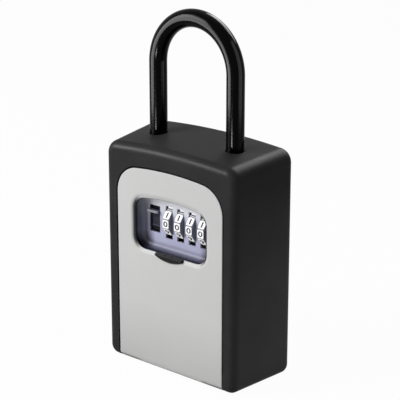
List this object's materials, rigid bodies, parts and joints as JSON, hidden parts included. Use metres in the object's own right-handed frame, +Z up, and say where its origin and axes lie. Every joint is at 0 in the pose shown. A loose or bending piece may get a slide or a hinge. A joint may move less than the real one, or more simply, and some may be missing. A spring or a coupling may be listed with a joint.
{
  "type": "key lock box",
  "caption": "Portable key lock box: a drop-down door with push-dial code lock and dust shutter, over a key compartment, hung from a removable coated shackle.",
  "frame": {"origin": "middle of the footprint, on the surface that the box stands on", "axes": "+X to the right seen from the front, -Y is the front with the door and the dials, +Z is up"},
  "size_m": [0.0864, 0.0409, 0.1758],
  "materials": {
    "case_black": "matt black powder coat with a fine grain",
    "panel_silver": "satin silver-grey paint",
    "bezel_grey": "satin lavender-grey plastic",
    "shackle_black": "glossy black coating",
    "shutter_black": "satin black plastic",
    "dial_white": "white number flats on dark grey",
    "button_black": "satin charcoal plastic",
    "inner_black": "black moulded plastic",
    "cover_black": "satin black paint",
    "cast_zinc": "bare cast zinc alloy, satin",
    "plate_steel": "zinc-plated steel",
    "screw_steel": "bright zinc-plated steel",
    "spring_steel": "spring steel",
    "cam_brass": "machined brass"
  },
  "bodies": {
    "case": {"case_cover": "case_black", "back_plate": "case_black", "case_screws": "screw_steel", "keeper": "plate_steel", "keeper_screws": "screw_steel", "mechanism_cover": "plate_steel", "mechanism_cover_screws": "screw_steel", "shackle_bushes": "inner_black", "hinge_pins": "screw_steel", "shackle_lock_spring": "spring_steel"},
    "shackle": {"shackle_core": "plate_steel", "shackle_coating": "shackle_black"},
    "shackle_lock": {"shackle_lock_plate": "plate_steel", "shackle_release_tab": "inner_black"},
    "door": {"door_panel": "panel_silver", "door_frame": "cast_zinc", "door_rear_cover": "cover_black", "panel_screws": "screw_steel", "rear_cover_screws": "screw_steel", "dial_bezel": "bezel_grey", "dial_axle": "screw_steel", "axle_clip": "spring_steel", "detent_comb": "spring_steel", "release_spring": "spring_steel", "cam_spring": "spring_steel"},
    "shutter": {"dial_shutter": "shutter_black"},
    "release": {"release_button": "button_black", "latch_bolt": "plate_steel"},
    "reset": {"reset_lever": "inner_black"},
    "dial_1": {"dial_ring_1": "dial_white"},
    "cam_1": {"code_cam_1": "cam_brass"},
    "dial_2": {"dial_ring_2": "dial_white"},
    "cam_2": {"code_cam_2": "cam_brass"},
    "dial_3": {"dial_ring_3": "dial_white"},
    "cam_3": {"code_cam_3": "cam_brass"},
    "dial_4": {"dial_ring_4": "dial_white"},
    "cam_4": {"code_cam_4": "cam_brass"}
  },
  "joints": [
    {"name": "door_hinge", "type": "hinge", "parent": "case", "child": "door", "pos_m": [0, -0.016, 0.004], "axis": [1, 0, 0], "range_deg": [0, 88]},
    {"name": "shutter_slide", "type": "slide", "parent": "door", "child": "shutter", "axis": [0, 0, 1], "range_m": [0, 0.0262]},
    {"name": "release_slide", "type": "slide", "parent": "door", "child": "release", "axis": [0, 0, 1], "range_m": [-0.0012, 0.0018], "stiffness_N_per_m": 400, "deforming": ["release_spring"]},
    {"name": "reset_slide", "type": "slide", "parent": "door", "child": "reset", "axis": [1, 0, 0], "range_m": [0, 0.0018], "stiffness_N_per_m": 300, "deforming": ["cam_spring"]},
    {"name": "shackle_lift", "type": "slide", "parent": "case", "child": "shackle", "axis": [0, 0, 1], "range_m": [0, 0.016]},
    {"name": "shackle_lock_slide", "type": "slide", "parent": "case", "child": "shackle_lock", "axis": [1, 0, 0], "range_m": [0, 0.003], "stiffness_N_per_m": 250, "deforming": ["shackle_lock_spring"]},
    {"name": "dial_1_turn", "type": "hinge", "parent": "door", "child": "dial_1", "pos_m": [-0.0053, -0.0091, 0.07465], "axis": [1, 0, 0], "continuous": true},
    {"name": "dial_2_turn", "type": "hinge", "parent": "door", "child": "dial_2", "pos_m": [0.0019, -0.0091, 0.07465], "axis": [1, 0, 0], "continuous": true},
    {"name": "dial_3_turn", "type": "hinge", "parent": "door", "child": "dial_3", "pos_m": [0.0091, -0.0091, 0.07465], "axis": [1, 0, 0], "continuous": true},
    {"name": "dial_4_turn", "type": "hinge", "parent": "door", "child": "dial_4", "pos_m": [0.0163, -0.0091, 0.07465], "axis": [1, 0, 0], "continuous": true},
    {"name": "cam_1_shift", "type": "slide", "parent": "dial_1", "child": "cam_1", "axis": [1, 0, 0], "range_m": [0, 0.0018]},
    {"name": "cam_2_shift", "type": "slide", "parent": "dial_2", "child": "cam_2", "axis": [1, 0, 0], "range_m": [0, 0.0018]},
    {"name": "cam_3_shift", "type": "slide", "parent": "dial_3", "child": "cam_3", "axis": [1, 0, 0], "range_m": [0, 0.0018]},
    {"name": "cam_4_shift", "type": "slide", "parent": "dial_4", "child": "cam_4", "axis": [1, 0, 0], "range_m": [0, 0.0018]}
  ],
  "couplings": [
    {"joint": "cam_1_shift", "follows": "reset_slide", "ratio": 1},
    {"joint": "cam_2_shift", "follows": "reset_slide", "ratio": 1},
    {"joint": "cam_3_shift", "follows": "reset_slide", "ratio": 1},
    {"joint": "cam_4_shift", "follows": "reset_slide", "ratio": 1}
  ]
}
